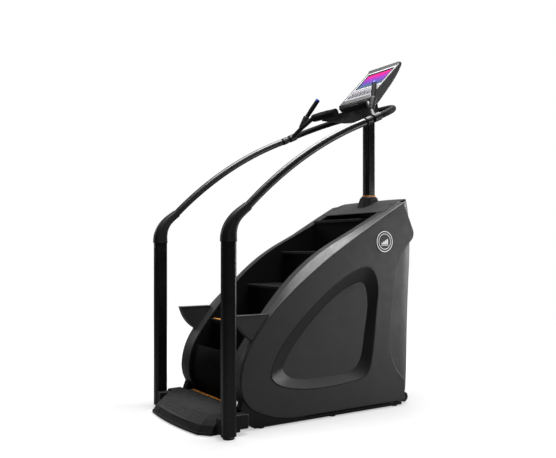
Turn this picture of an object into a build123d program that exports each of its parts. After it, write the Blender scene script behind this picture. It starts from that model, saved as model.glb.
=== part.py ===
from build123d import *
import os
from math import atan2, cos, pi, radians, sin

os.makedirs("parts", exist_ok=True)

# Stair climber: an endless flight of steps between two side covers, climbed from an entry platform.
# Millimetres. X to the user's right, Y forward (the way the user faces), Z up, floor at Z = 0.
# Points below are given with y from the posts' centre plane; save() moves the origin to the floor centre.
ORIGIN_Y = 648.0
RIGHT, LEFT = 1, -1

# posts and handrails
POST_X = 425.0
POST_SIZE = (52.0, 76.0)
POST_ROUND = 18.0
POST_BASE = 12.0
POST_TOP = 982.0
TUBE_WALL = 3.5
RAIL_X = 430.0
RAIL_SIZE = (36.0, 42.0)
RAIL_START = (100.0, 1155.0)
RAIL_MIDDLE = (430.0, 1427.0)
RAIL_END = (874.0, 1664.0)
BAR_RADIUS = 19.0
BAR_SLOPE = 23.7
BAR_REACH = 373.0
BAR_CORNER = 235.0

# mast and console
MAST_Y = 1276.0
MAST_SIZE = (56.0, 75.0)
MAST_ROUND = 18.0
MAST_FOOT = 1204.0
MAST_TOP = 1835.0
CONSOLE_TILT = 45.0
PIVOT = (1276.0, 1880.0)
PIVOT_RADIUS = 8.0
EAR_X = (52.0, 64.0)
LUG_X = (39.0, 51.6)
RUNNING_GAP = 0.05

# side covers
COVER_X = 360.0
SEAM_X = 305.0
WELL_X = 250.0
WALL = 4.0
RECESS_DEPTH = 25.0
BADGE = (1088.0, 990.0)
BADGE_RADIUS = 65.0
BASE_Z = 30.0
FLOOR_RAIL_X = (258.0, 300.0)
FLOOR_RAIL_Z = (10.0, 70.0)
SKID_X = (300.0, 350.0)
UPRIGHT_X = (278.0, 296.0)
BEARING_DROP = 45.0
WHEEL = (1294.0, 36.0)
WHEEL_RADIUS = 30.0
AXLE_RADIUS = 6.0

# steps: a straight flight of four, nine steps in the whole loop
RISE = 200.0
RUN = 255.0
FIRST_NOSE = (242.0, 533.0)
STEPS_SHOWN = 4
STEPS_IN_LOOP = 9
STEP_HALF_WIDTH = 238.0
TREAD_THICK = 24.0
RISER_THICK = 3.0
SPROCKET_RADIUS = 75.0
CHAIN_DROP = 190.0
CHAIN_X = (264.0, 274.0)
CHAIN_THICK = 7.0
SHAFT_RADIUS = 15.0
TRAVEL = 80.0
CLEAR = 0.4

PITCH_ANGLE = atan2(RISE, RUN)
PITCH = (RISE ** 2 + RUN ** 2) ** 0.5
UP = Vector(0, cos(PITCH_ANGLE), sin(PITCH_ANGLE))
DOWN = Vector(0, sin(PITCH_ANGLE), -cos(PITCH_ANGLE))
SHAFT_SPAN = (STEPS_IN_LOOP * PITCH - 2 * pi * SPROCKET_RADIUS) / 2
FIRST_NOSE_POINT = Vector(0, *FIRST_NOSE)
LOWER_SHAFT = FIRST_NOSE_POINT - UP * 165 + DOWN * (CHAIN_DROP + SPROCKET_RADIUS)
UPPER_SHAFT = LOWER_SHAFT + UP * SHAFT_SPAN

# drive
MOTOR = (1075.0, 190.0)
MOTOR_PULLEY_RADIUS = 30.0
MOTOR_SHAFT_RADIUS = 10.0
MOTOR_RADIUS = 68.0
DRIVEN_PULLEY_RADIUS = 66.0
PULLEY_X = (300.0, 318.0)
BELT_THICK = 3.0

# entry platform
DECK_Z = 120.0
DECK_BREAK_Y = 112.0
DECK_SLOPE = 0.157
PLATFORM_FEET = 5.0
LIP_TOP = 18.0
PANEL_HALF_WIDTH = 195.0
PANEL_Z = (22.0, 48.0)
PANEL_BACK = -86.0
PANEL_SET_BACK = 2.5
DECK_HALF_WIDTH = 350.0
TONGUE_HALF_WIDTH = 244.0


def save(name, *shapes):
    """Write one node: all solids of the shapes, with the origin moved to the floor centre."""
    solids = [solid for shape in shapes for solid in (Pos(0, -ORIGIN_Y, 0) * shape).solids()]
    export_step(solids[0] if len(solids) == 1 else Compound(solids), f"parts/{name}.step")


def block(x, y, z, rounding=0.0):
    """A box from its (low, high) pairs, with all its edges rounded if asked."""
    body = Pos(sum(x) / 2, sum(y) / 2, sum(z) / 2) * Box(x[1] - x[0], y[1] - y[0], z[1] - z[0])
    return fillet(body.edges(), rounding) if rounding else body


def rod_x(point, radius, x):
    """A round bar along X at a (y, z) point, from x[0] to x[1]."""
    return Pos(sum(x) / 2, *point) * Rot(0, 90, 0) * Cylinder(radius, x[1] - x[0])


def prism_x(face, x):
    """A side-view face, drawn in (y, z), stretched from x[0] to x[1]."""
    return extrude(Plane.YZ.offset(x[0]) * face, amount=x[1] - x[0], dir=(1, 0, 0))


def flip(shape):
    return mirror(shape, about=Plane.YZ)


def both_sides(shape):
    return [shape, flip(shape)]


def save_pair(name, right_shape):
    save(f"{name}_right", right_shape)
    save(f"{name}_left", flip(right_shape))


def smooth_path(start, heading, *ends):
    """Arcs from point to point, each one leaving in the direction in which the last one arrived."""
    arcs = []
    for end in ends:
        arc = TangentArc(start, end, tangent=heading)
        arcs.append(arc)
        start, heading = end, arc % 1
    return arcs


# ---------------------------------------------------------------- outlines in side view

SEAM_CREST = ((167, 435), (373, 688), (769, 986), (1250, 1236))
SIDE_CREST = ((163, 440), (372, 671), (769, 953), (1247, 1229))


def cover_outline(crest_points=SEAM_CREST):
    """Side cover seen from the side: round nose, long crest, overhanging head, hollow back, flat foot."""
    crest = smooth_path((105, 246), (0, 1), *crest_points)
    head = Line(crest_points[-1], (1326, 1062))
    chin = ThreePointArc((1326, 1062), (1329, 1032), (1312, 1000))
    back = smooth_path((1312, 1000), (-0.8, -0.6), (1177, 772), (1135, 433), (1246, 164))
    heel = Line((1246, 164), (1254, BASE_Z))
    foot = Line((1254, BASE_Z), (440, BASE_Z))
    belly = smooth_path((440, BASE_Z), (-1, 0.06), (205, 91), (105, 246))
    return make_face(Curve() + [*crest, head, chin, *back, heel, foot, *belly])


def recess_outline():
    """Outer edge of the teardrop recess."""
    return make_face(Spline((287, 284), (335, 391), (478, 554), (683, 724), (886, 836), (985, 846),
                            (1040, 770), (1038, 616), (1000, 324), (950, 210), (871, 187), (613, 171),
                            (380, 200), (304, 240), periodic=True))


def recess_floor_outline():
    """Edge of the recess floor, at the foot of its sloping bezel."""
    return make_face(Spline((386, 318), (430, 388), (548, 520), (734, 672), (876, 742), (942, 748),
                            (969, 696), (950, 442), (914, 296), (880, 257), (734, 232), (482, 236),
                            (404, 268), periodic=True))


def nose_line(drop):
    """Side-view half plane above a line that runs parallel to the flight, drop below the step noses."""
    low = FIRST_NOSE_POINT + DOWN * drop - UP * 800
    high = low + UP * 2600
    far = -DOWN * 1500
    corners = [low, high, high + far, low + far]
    return make_face(Polyline([(c.Y, c.Z) for c in corners], close=True))


# ---------------------------------------------------------------- base

def base_frame():
    """Welded tubes: two floor rails with outer skids, cross members, uprights, sloping stringers, bridge."""
    (low_x, high_x), (low_z, high_z) = FLOOR_RAIL_X, FLOOR_RAIL_Z
    bore = block((low_x + TUBE_WALL, high_x - TUBE_WALL), (180, 1245),
                 (low_z + TUBE_WALL, high_z - TUBE_WALL))
    rail = block(FLOOR_RAIL_X, (190, 1235), FLOOR_RAIL_Z) - bore
    skid = plinth() + block(SKID_X, (215, 1235), (6, 24))
    front_upright, rear_upright = (
        block(UPRIGHT_X, (shaft.Y - 45, shaft.Y + 45), (high_z, shaft.Z - BEARING_DROP))
        for shaft in (LOWER_SHAFT, UPPER_SHAFT))
    stay_y = (UPPER_SHAFT.Y + 45, UPPER_SHAFT.Y + 75)
    mast_stay = block(UPRIGHT_X, stay_y, (400, 1150))
    mast_shelf = block(UPRIGHT_X, (MAST_Y - 30, stay_y[1]), (1150, 1200))
    bridge = block((-278, 278), (MAST_Y - 30, MAST_Y + 30), (1158, 1200))
    members = [block((-258, 258), (y, y + 40), (10, 50)) for y in (190, 660, 1195)]
    tie = block((-278, 278), (UPPER_SHAFT.Y - 20, UPPER_SHAFT.Y + 20), (560, 600))
    sides = [rail, skid, front_upright, rear_upright, mast_stay, mast_shelf]
    return [part for side in sides for part in both_sides(side)] + members + [bridge, tie]


def plinth():
    """Skirt that fills the space between a floor rail and the cover's rounded belly."""
    side = make_face(Polyline((196, 6), (150, 40), (112, 112), (130, 160), (300, 160), (520, 30), (520, 6),
                              close=True))
    return prism_x(side - offset(cover_outline(), 1.5), SKID_X)


def levelling_foot(x, y, top):
    """A threaded foot: a rubber-soled disc on a short stud."""
    disc = Pos(x, y, 2.5) * Cylinder(22, 5)
    stud = Pos(x, y, (5 + top) / 2) * Cylinder(5, top - 5)
    return disc + stud


def levelling_feet():
    return [levelling_foot(x * side, y, top) for side in (RIGHT, LEFT)
            for x, y, top in ((325, 245, 6), (325, 1190, 6), (325, 720, 6))]


def transport_wheel():
    """A floor wheel that meets the ground once the machine is tipped back."""
    tyre = rod_x(WHEEL, WHEEL_RADIUS, (289, 313))
    rims = tyre.edges().filter_by(GeomType.CIRCLE)
    return chamfer(rims, 3) - rod_x(WHEEL, AXLE_RADIUS, (280, 320))


def wheel_forks():
    """Fork plates behind the rails, with the wheel's axle between them."""
    plates = [block((x, x + 5), (1235, WHEEL[0] + 14), (24, 58)) for x in (281, 316)]
    axle = rod_x(WHEEL, AXLE_RADIUS - RUNNING_GAP, (286, 316))
    tie = block((286, 316), (1235, 1245), (40, 58))
    return [part for piece in (*plates, axle, tie) for part in both_sides(piece)]


# ---------------------------------------------------------------- entry platform

def platform_plan(front, inset):
    """Plan of the platform: bowed front edge, cut corners, and a tongue between the cover noses."""
    half = DECK_HALF_WIDTH - inset
    tongue = TONGUE_HALF_WIDTH
    bow = ThreePointArc((-half + 60, front + 22), (0, front), (half - 60, front + 22))
    sides = Polyline((half - 60, front + 22), (half, front + 70), (half, 96), (tongue, 96), (tongue, 146),
                     (-tongue, 146), (-tongue, 96), (-half, 96), (-half, front + 70),
                     (-half + 60, front + 22))
    return make_face(Curve() + [bow, sides])


def platform_form(drop=0.0):
    """Solid outline of the platform: leaning front, sloping deck edge, and a deck lowered by drop."""
    levels = ((LIP_TOP, -126, 3), (50 - drop, -107, 8), (98 - drop, -52, 16), (124 - drop, -24, 20))
    body = loft([Pos(0, 0, z) * platform_plan(front, inset) for z, front, inset in levels], ruled=True)
    top = DECK_Z - drop
    rear, run = 160, 260
    nose = (DECK_BREAK_Y - run, top - run * DECK_SLOPE)
    under = Polyline((rear, top), (DECK_BREAK_Y, top), nose, (nose[0], 0), (rear, 0), close=True)
    return body & prism_x(make_face(under), (-400, 400))


def platform_shell():
    """Moulded platform on an upright base lip, open where the mat, strip and front panel sit."""
    lip = extrude(Pos(0, 0, PLATFORM_FEET) * platform_plan(-130, 0), amount=LIP_TOP - PLATFORM_FEET)
    recess = block((-PANEL_HALF_WIDTH, PANEL_HALF_WIDTH), (-200, PANEL_BACK), PANEL_Z)
    return lip + (platform_form() - platform_mat() - platform_strip() - recess)


def platform_front_panel():
    """Panel set slightly back in the platform's leaning front."""
    half = PANEL_HALF_WIDTH - 0.5
    space = block((-half, half), (-200, PANEL_BACK - 0.5), (PANEL_Z[0] + 0.5, PANEL_Z[1] - 0.5))
    return (Pos(0, PANEL_SET_BACK, 0) * platform_form()) & space


def platform_mat():
    """Mat over the deck and its sloping edge, with ribs that run across."""
    area = extrude(platform_plan(-96, 34), amount=200) & block((-400, 400), (-200, 112), (0, 200))
    sheet = (platform_form() - platform_form(3)) & area
    ribs = (platform_form(-1) - platform_form()) & area
    bars = [block((-300, 300), (y, y + 7), (20, 140)) for y in range(-92, 110, 14)]
    return sheet + [bar & ribs for bar in bars]


def platform_strip():
    """Coloured edge strip across the tongue, in front of the kick plate."""
    return block((-240, 240), (116, 134), (DECK_Z - 4, DECK_Z))


def platform_feet():
    pad = Cylinder(18, PLATFORM_FEET)
    return [Pos(x, y, PLATFORM_FEET / 2) * pad for x in (-300, 300) for y in (-40, 60)]


def kick_plate():
    """Curved plate between the cover noses, from the platform up to the lowest step."""
    band = offset(cover_outline(), -16) - offset(cover_outline(), -16 - WALL)
    return prism_x(band, (-248, 248)) & block((-300, 300), (0, 220), (DECK_Z + 1, 380))


# ---------------------------------------------------------------- posts and rails

def tube_section(size, corner):
    """Section of a rounded box tube."""
    inner = [length - 2 * TUBE_WALL for length in size]
    return RectangleRounded(*size, corner) - RectangleRounded(*inner, corner - TUBE_WALL)


def post():
    """Rounded box tube that stands on its pad."""
    section = Pos(POST_X, 0, POST_BASE) * tube_section(POST_SIZE, POST_ROUND)
    return extrude(section, amount=POST_TOP - POST_BASE)


def post_pads():
    """Round foot pad under each post."""
    pad = Pos(POST_X, 0, POST_BASE / 2) * Cylinder(30, POST_BASE)
    return both_sides(chamfer(pad.edges(), 1.5))


def post_brackets():
    """Blocks that tie each post to the platform's side."""
    inner = DECK_HALF_WIDTH + 0.5
    outer = POST_X - POST_SIZE[0] / 2 - 0.5
    bracket = block((inner, outer), (-32, 84), (14, 96), 5)
    boot = block((inner + 4, outer + 12), (POST_SIZE[1] / 2 + 0.5, 128), (30, 106), 8)
    return both_sides(bracket + boot)


def knuckle():
    """Moulded elbow that takes the upright post section round into the sloping handrail section."""
    rail_angle = 46.5
    stations = [
        (0, POST_TOP, 0, (58, 82), 20, POST_X),
        (1, POST_TOP + 45, 4, (57, 78), 20, POST_X + 1),
        (20, POST_TOP + 98, 18, (54, 66), 20, POST_X + 2),
        (52, POST_TOP + 137, 33, (49, 56), 18, POST_X + 4),
        (RAIL_START[0] + 8, RAIL_START[1] + 8, rail_angle, (42, 48), 15, RAIL_X),
    ]
    sections = []
    for y, z, lean, size, corner, x in stations:
        plane = Plane(origin=(x, y, z), x_dir=(1, 0, 0), z_dir=(0, sin(radians(lean)), cos(radians(lean))))
        sections.append(plane * RectangleRounded(*size, corner))
    return loft(sections) - handrail()


def knuckle_screws():
    """Two cap screws in the outer face of each elbow."""
    spots = ((10, POST_TOP + 34, 454.0), (38, POST_TOP + 112, 452.0))
    heads = [rod_x((y, z), 6, (x, x + 3.5)) for y, z, x in spots]
    elbow = knuckle()
    return [part for head in heads for part in both_sides(head - elbow)]


def handrail():
    """Arched oval extrusion."""
    path = ThreePointArc((RAIL_X, *RAIL_START), (RAIL_X, *RAIL_MIDDLE), (RAIL_X, *RAIL_END))
    plane = Plane(origin=path @ 0, x_dir=(1, 0, 0), z_dir=path % 0)
    return sweep(plane * RectangleRounded(*RAIL_SIZE, 17), path)


def bar_plane():
    return Plane(origin=(0, RAIL_END[0] + 2, RAIL_END[1]), x_dir=(1, 0, 0),
                 z_dir=(0, -sin(radians(BAR_SLOPE)), cos(radians(BAR_SLOPE))))


def front_bar():
    """One round bar, U-shaped in its sloping plane, from handrail to handrail."""
    path = FilletPolyline((RAIL_X, 0), (RAIL_X, BAR_REACH), (-RAIL_X, BAR_REACH), (-RAIL_X, 0),
                          radius=BAR_CORNER)
    route = bar_plane() * path
    start = Plane(origin=route @ 0, z_dir=route % 0)
    return sweep(start * Circle(BAR_RADIUS), route)


def bar_point(x, reach):
    """A point on the front bar's plane, as (x, y, z)."""
    return bar_plane().from_local_coords(Vector(x, reach, 0))


def bar_sleeves():
    """Collars that cover the joint between handrail and bar."""
    plane = bar_plane()
    ring = Cylinder(BAR_RADIUS + 4, 36) - Cylinder(BAR_RADIUS + 0.2, 40)
    collar = plane * (Pos(RAIL_X, 30, 0) * Rot(90, 0, 0) * ring)
    return both_sides(collar)


# ---------------------------------------------------------------- hand sticks, grips and tray

TRAY_Z = (1768.0, 1822.0)
TRAY_HALF_WIDTH = 235.0
TRAY_RISE = 30.0
CUP_WELL = (190.0, 1124.0, 1796.0)
CUP_WELL_RADIUS = 36.0
ARM_ELBOW = (365.0, 986.0, 1754.0)
GRIP_END = (282.0, 1028.0, 1818.0)
GRIP_MIDDLE = (52.0, 1044.0, 1822.0)
STICK_TIP = (290.0, 1070.0, 1938.0)
STICK_COLLAR = (339.0, 1020.0, 1836.0)
ARM_RADIUS = 14.0
GRIP_RADIUS = 26.0
BRANCH_REACH = 96.0
BUTTON_RADIUS = 8.0
CAP_RADIUS = 15.0


def round_bar(start, end, *stations):
    """Straight bar with a changing radius: stations are (part of the length, radius)."""
    line = Line(start, end)
    rings = [Plane(origin=line @ t, z_dir=line % 0) * Circle(radius) for t, radius in stations]
    return loft(rings, ruled=True)


def stick_arm():
    """Branch that leaves the front bar's leg and rises inwards to the end of the grip."""
    root = bar_point(RAIL_X - BAR_RADIUS - 1, 92)
    route = FilletPolyline((root.X, root.Y, root.Z + 8), ARM_ELBOW, GRIP_END, radius=60)
    start = Plane(origin=route @ 0, z_dir=route % 0)
    return sweep(start * Circle(ARM_RADIUS), route)


def branch():
    """Moulded branch: a saddle on the front bar, the arm, and the thick boot of the hand stick."""
    saddle = bar_plane() * (Pos(RAIL_X, BRANCH_REACH, 0) * Rot(90, 0, 0) * Cylinder(BAR_RADIUS + 5, 52))
    bore = bar_plane() * (Pos(RAIL_X, BRANCH_REACH, 0) * Rot(90, 0, 0) * Cylinder(BAR_RADIUS + 0.2, 90))
    boot = round_bar((360, 989, 1762), STICK_COLLAR, (0, 17), (0.3, 19), (0.9, 21), (1, 20))
    return (saddle + stick_arm() + boot - bore - grip()).solids().sort_by(SortBy.VOLUME)[-1]


def grip():
    """Thick moulded grip on the level part of the handlebar."""
    return round_bar(GRIP_END, GRIP_MIDDLE, (0, GRIP_RADIUS - 8), (0.04, GRIP_RADIUS - 2),
                     (0.12, GRIP_RADIUS), (0.6, GRIP_RADIUS), (1, GRIP_RADIUS - 1))


def stick():
    """Tapered upright stick above its collar."""
    return round_bar(STICK_COLLAR, STICK_TIP, (0.03, 15), (0.1, 14), (0.5, 15.5), (0.9, 15), (1, 14))


def stick_cap():
    """Ring-shaped cap on the stick's tip, bored for the thumb button."""
    axis = (Vector(*STICK_TIP) - Vector(*STICK_COLLAR)).normalized()
    plane = Plane(origin=STICK_TIP, z_dir=axis)
    ring = Pos(0, 0, 7) * Cylinder(CAP_RADIUS, 14)
    rim = fillet(ring.edges().sort_by(Axis.Z)[-1], 3)
    return plane * (rim - Pos(0, 0, 12) * Cylinder(BUTTON_RADIUS + CLEAR, 12))


def thumb_button():
    """Round button sunk in the stick's cap, with room below for its travel."""
    axis = (Vector(*STICK_TIP) - Vector(*STICK_COLLAR)).normalized()
    plane = Plane(origin=STICK_TIP, z_dir=axis)
    knob = Pos(0, 0, 12) * Cylinder(BUTTON_RADIUS, 7)
    return plane * fillet(knob.edges().sort_by(Axis.Z)[-1], 1.5)


def sensor_plates():
    """Curved contact plates wrapped over the user's side of each grip."""
    line = Line(GRIP_END, GRIP_MIDDLE)
    plane = Plane(origin=line @ 0.5, z_dir=line % 0, x_dir=(0, 0, 1))
    ring = Cylinder(GRIP_RADIUS + 1.2, 90) - Cylinder(GRIP_RADIUS + 0.1, 100)
    window = Box(30, 80, 100)
    plate = plane * (ring & (Pos(16, 0, 0) * window))
    return both_sides(plate - grip())


def tray():
    """Shallow accessory tray between the handlebar and the mast, with a cup well on each side."""
    low, high = TRAY_Z
    half = TRAY_HALF_WIDTH
    rim = Polyline((-half, 1066), (-half, 1150), (-150, 1190), (150, 1190), (half, 1150), (half, 1066),
                   (150, 1079), (-150, 1079), close=True)
    body = extrude(Pos(0, 0, low) * make_face(rim), amount=high - low)
    body = fillet(body.edges().filter_by(Axis.Z), 6)
    end, edge = half + 1, low + TRAY_RISE
    belly = ThreePointArc((-end, edge), (0, low), (end, edge))
    below = Polyline((end, edge), (end, low - 8), (-end, low - 8), (-end, edge))
    body = body - extrude(Plane.XZ.offset(-1200) * make_face(Curve() + [belly, below]), amount=200)
    x, y, floor = CUP_WELL
    wells = both_sides(Pos(x, y, floor + 30) * Cylinder(CUP_WELL_RADIUS, 60))
    pocket = block((-135, 135), (1088, 1178), (1786, 1900))
    return body - wells - pocket


# ---------------------------------------------------------------- mast and console

FACE_ORIGIN = (0.0, 1180.0, 1920.0)
FACE_SIZE = (286.0, 304.0)
FACE_THICK = 8.0
SEAT_DEPTH = 9.0
SCREEN = (262.0, 170.0)
SCREEN_MIDDLE = 204.0
SCREEN_SUNK = 2.0
KEYPAD = (262.0, 14.0, 108.0)
KEYPAD_THICK = 1.2
KEY_RADIUS = 7.0
KEY_ROW = 62.0
KEY_X = {"slower_key": -98.0, "faster_key": -70.0, "start_key": 70.0, "stop_key": 98.0}
SHELL_HALF_WIDTH = 152.0


def console_plane():
    """Plane of the console's face: origin at its lower edge, y up the face, z towards the user."""
    tilt = radians(CONSOLE_TILT)
    return Plane(origin=FACE_ORIGIN, x_dir=(1, 0, 0), z_dir=(0, -cos(tilt), sin(tilt)))


def mast_section(z, margin=0.0):
    width, depth = MAST_SIZE
    return Pos(0, MAST_Y, z) * RectangleRounded(width + 2 * margin, depth + 2 * margin, MAST_ROUND)


def mast():
    section = Pos(0, MAST_Y, MAST_FOOT) * tube_section(MAST_SIZE, MAST_ROUND)
    return extrude(section, amount=MAST_TOP - MAST_FOOT)


def mast_ring():
    """Coloured ring where the mast leaves its boot."""
    return extrude(mast_section(1285, 4) - mast_section(1285, 0.2), amount=8)


def mast_boot():
    """Flared boot that stands on the deck and closes round the mast."""
    low = Pos(0, MAST_Y - 4, 1206) * RectangleRounded(124, 142, 44)
    high = Pos(0, MAST_Y, 1276) * RectangleRounded(92, 106, 32)
    top = Pos(0, MAST_Y, 1284.5) * RectangleRounded(72, 90, 24)
    flare = loft([low, high]) + loft([high, top])
    return flare - extrude(mast_section(1190, 0.3), amount=120) - prism_x(deck_profile(0.3), (-80, 80))


def bar_clamp():
    """Clamp on the mast's front face that grips the front bar."""
    bar = bar_point(0, BAR_REACH)
    body = block((-32, 32), (bar.Y - 23, MAST_Y - MAST_SIZE[1] / 2 - 0.3), (bar.Z - 24, bar.Z + 24), 3)
    return body - rod_x((bar.Y, bar.Z), BAR_RADIUS + 0.2, (-40, 40))


def console_yoke():
    """Block on the mast's head with two ears that hold the tilt pin."""
    seat = block((-64, 64), (1240, 1314), (MAST_TOP, MAST_TOP + 18), 3)
    ear = block(EAR_X, (PIVOT[0] - 20, PIVOT[0] + 20), (MAST_TOP + 16, PIVOT[1]))
    ear = ear + rod_x(PIVOT, 20, EAR_X)
    return seat + both_sides(ear) - rod_x(PIVOT, PIVOT_RADIUS, (-70, 70))


def tilt_pin():
    return rod_x(PIVOT, PIVOT_RADIUS, (-66, 66))


def console_side_plane():
    """Plane of the console's side view: x up the face, y towards the user."""
    plane = console_plane()
    return Plane(origin=plane.origin, x_dir=plane.y_dir, z_dir=plane.x_dir)


def console_block(half_width):
    """Housing before its pocket is cut: sloped face, hood past its top, curved back."""
    back = Spline((-60, -14), (-44, -58), (37, -66), (143, -56), (262, -38), (330, -18))
    front = Polyline((330, -18), (338, -6), (326, 10), (309, 3), (-46, 3), (-60, -14))
    outline = console_side_plane() * make_face(Curve() + [back, front])
    return extrude(outline, amount=half_width, both=True)


def console_housing():
    """Back shell with a seat for the bezel and a deeper space behind the screen and keys."""
    body = console_block(SHELL_HALF_WIDTH)
    ends = body.edges().group_by(Axis.X)
    body = fillet(ends[0] + ends[-1], 6)
    seat = face_box(FACE_SIZE[0] + 1, (-0.5, FACE_SIZE[1] + 0.5), (-SEAT_DEPTH, 20))
    return body - seat - face_box(FACE_SIZE[0] - 20, (20, 230), (-32, -SEAT_DEPTH + 1))


def face_box(width, up, out, x=0.0):
    """A box on the console's face: width across, (low, high) up the face and out of it."""
    middle = Pos(x, sum(up) / 2, sum(out) / 2)
    return console_plane() * (middle * Box(width, up[1] - up[0], out[1] - out[0]))


def face_plate(width, up, out, corner):
    """A plate on the console's face with rounded corners."""
    outline = console_plane() * (Pos(0, sum(up) / 2, out[0]) * RectangleRounded(width, up[1] - up[0], corner))
    return extrude(outline, amount=out[1] - out[0])


def face_rod(x, up, radius, out):
    """A round bar that stands on the console's face."""
    return console_plane() * (Pos(x, up, sum(out) / 2) * Cylinder(radius, out[1] - out[0]))


def key_holes():
    return [face_rod(x, KEY_ROW, KEY_RADIUS + CLEAR, (-30, 20)) for x in KEY_X.values()]


def console_bezel():
    """Face plate with the screen's window and the holes for the keys."""
    plate = face_plate(FACE_SIZE[0], (0, FACE_SIZE[1]), (-FACE_THICK, 0), 8)
    half = SCREEN[1] / 2
    return plate - face_box(SCREEN[0], (SCREEN_MIDDLE - half, SCREEN_MIDDLE + half), (-20, 20)) - key_holes()


def console_screen():
    half = SCREEN[1] / 2 - 0.2
    up = (SCREEN_MIDDLE - half, SCREEN_MIDDLE + half)
    return face_box(SCREEN[0] - 0.4, up, (-FACE_THICK, -SCREEN_SUNK))


def keypad_panel():
    """Thin overlay around the keys."""
    width, low, high = KEYPAD
    return face_plate(width, (low, high), (0, KEYPAD_THICK), 10) - key_holes()


def console_key(x):
    key = face_rod(x, KEY_ROW, KEY_RADIUS, (-6, 3.2))
    return fillet(key.edges().sort_by(Axis(FACE_ORIGIN, console_plane().z_dir))[-1], 1)


def console_lugs():
    """Lugs on the housing's back that turn on the tilt pin."""
    arm = block(LUG_X, (PIVOT[0] - 13, PIVOT[0] + 13), (PIVOT[1], PIVOT[1] + 62))
    lug = rod_x(PIVOT, 18, LUG_X) + arm
    lug = lug - rod_x(PIVOT, PIVOT_RADIUS + RUNNING_GAP, (30, 60)) - console_block(100)
    return both_sides(lug.solids().sort_by(Axis.Z)[0])


# ---------------------------------------------------------------- covers

def cover_solid(x, margin=0.0):
    """The side cover's outline as a solid block, grown by margin."""
    outline = cover_outline()
    return prism_x(offset(outline, margin) if margin else outline, x)


def outer_form(inset=0.0):
    """Solid form of the outer shell: its crest slopes down from the seam to the side face."""
    outlines = [cover_outline(), cover_outline(SIDE_CREST)]
    if inset:
        outlines = [offset(outline, -inset) for outline in outlines]
    seam, side = outlines
    start = SEAM_X - 1 if inset else SEAM_X
    return loft([Plane.YZ.offset(start) * seam, Plane.YZ.offset(COVER_X - inset) * side], ruled=True)


def outer_cover():
    """Outer shell: a dished side wall with the crest, head and nose turned inwards to the seam."""
    skin = outer_form()
    rim = skin.faces().sort_by(Axis.X)[-1].outer_wire().edges()
    front = rim.filter_by(lambda edge: edge.center().Y < 600 and edge.center().Z > BASE_Z + 5)
    top = rim.filter_by(lambda edge: edge.center().Y > 600 and edge.center().Z > 1000)
    skin = fillet(front + top, 8)
    rim = skin.faces().sort_by(Axis.X)[-1].outer_wire().edges()
    hollow_back = rim.filter_by(lambda edge: 1100 < edge.center().Y and 170 < edge.center().Z < 960)
    skin = fillet(hollow_back, 6)
    hollow = outer_form(WALL)
    foot_gap = block((SEAM_X - 1, COVER_X - WALL), (300, 1300), (0, BASE_Z + WALL + 2))
    back_gap = block((SEAM_X - 1, COVER_X - WALL), (1110, 1340), (0, 1010))
    window = prism_x(recess_outline(), (SEAM_X, COVER_X + 1))
    return skin - hollow - foot_gap - back_gap - window


def scaled(face, factor):
    """The face drawn larger or smaller about its own middle."""
    shift = face.center() * (1 - factor)
    return Pos(shift.X, shift.Y) * scale(face, by=factor)


def recess_bezel():
    """Sloping frame between the cover's face and the recess floor."""
    floor_x = COVER_X - RECESS_DEPTH
    outer = scaled(recess_outline(), 0.998)
    dish = loft([Plane.YZ.offset(floor_x) * scaled(recess_floor_outline(), 1.004),
                 Plane.YZ.offset(COVER_X + 1) * scaled(recess_outline(), 0.99)])
    body = prism_x(outer, (floor_x - 4, COVER_X - 0.5))
    return body - dish - prism_x(scaled(recess_floor_outline(), 1.004), (floor_x - 5, floor_x + 1))


def recess_panel():
    """Flat floor of the recess."""
    return prism_x(recess_floor_outline(), (COVER_X - RECESS_DEPTH - 4, COVER_X - RECESS_DEPTH))


def badge():
    """Round emblem plate on the cover's head."""
    return rod_x(BADGE, BADGE_RADIUS, (COVER_X + 0.2, COVER_X + 2.4))


def inner_cover():
    """Inner shell: the wall beside the steps, with the crest turned out to the seam."""
    skirt = nose_line(CHAIN_DROP - 26) & cover_outline()
    wall = prism_x(skirt, (WELL_X, WELL_X + WALL)) & block((0, 400), (0, 1225), (0, 1400))
    crest = cover_outline() - offset(cover_outline(), -WALL)
    crest = crest & nose_line(CHAIN_DROP + 80) & Pos(622, 600) * Rectangle(1244, 1400)
    return wall + prism_x(crest, (WELL_X + WALL - 1, SEAM_X - CLEAR))


def deck_profile(raised=0.0):
    """Side view of the top deck's solid: its top carries on the line of the crest to the rear edge."""
    top = smooth_path((1086, 1150), (0.87, 0.49), (1250, 1233), (1390, 1268))
    low = Polyline((1390, 1268), (1390, 1100), (1086, 1100), (1086, 1150))
    return Pos(0, raised) * make_face(Curve() + [*top, low])


REAR_HALF_WIDTH = 350.0
REAR_START = 1130.0


def rear_plan(z, depth, inset=0.0):
    """Plan of the machine's back: sides that lean in a little, round corners and a broad bow."""
    half = REAR_HALF_WIDTH - inset
    side = (half - 5, REAR_START + 0.42 * depth)
    lean = (side[0] - half, side[1] - REAR_START)
    corner = (half - 50, REAR_START + 0.81 * depth - inset)
    bow = ThreePointArc(corner, (0, REAR_START + depth - inset), (-corner[0], corner[1]))
    right = [Line((half, REAR_START), side), TangentArc(side, corner, tangent=lean)]
    left = [TangentArc((-side[0], side[1]), (-corner[0], corner[1]), tangent=(-lean[0], lean[1])),
            Line((-side[0], side[1]), (-half, REAR_START)), Line((-half, REAR_START), (half, REAR_START))]
    return Pos(0, 0, z) * make_face(Curve() + [*right, bow, *left])


def rear_body(inset=0.0):
    """Solid form of the back, leaning out towards its head."""
    levels = ((BASE_Z, 215), (560, 245), (1010, 270), (1090, 266), (1275, 222))
    return loft([rear_plan(z, depth, inset) for z, depth in levels])


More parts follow.
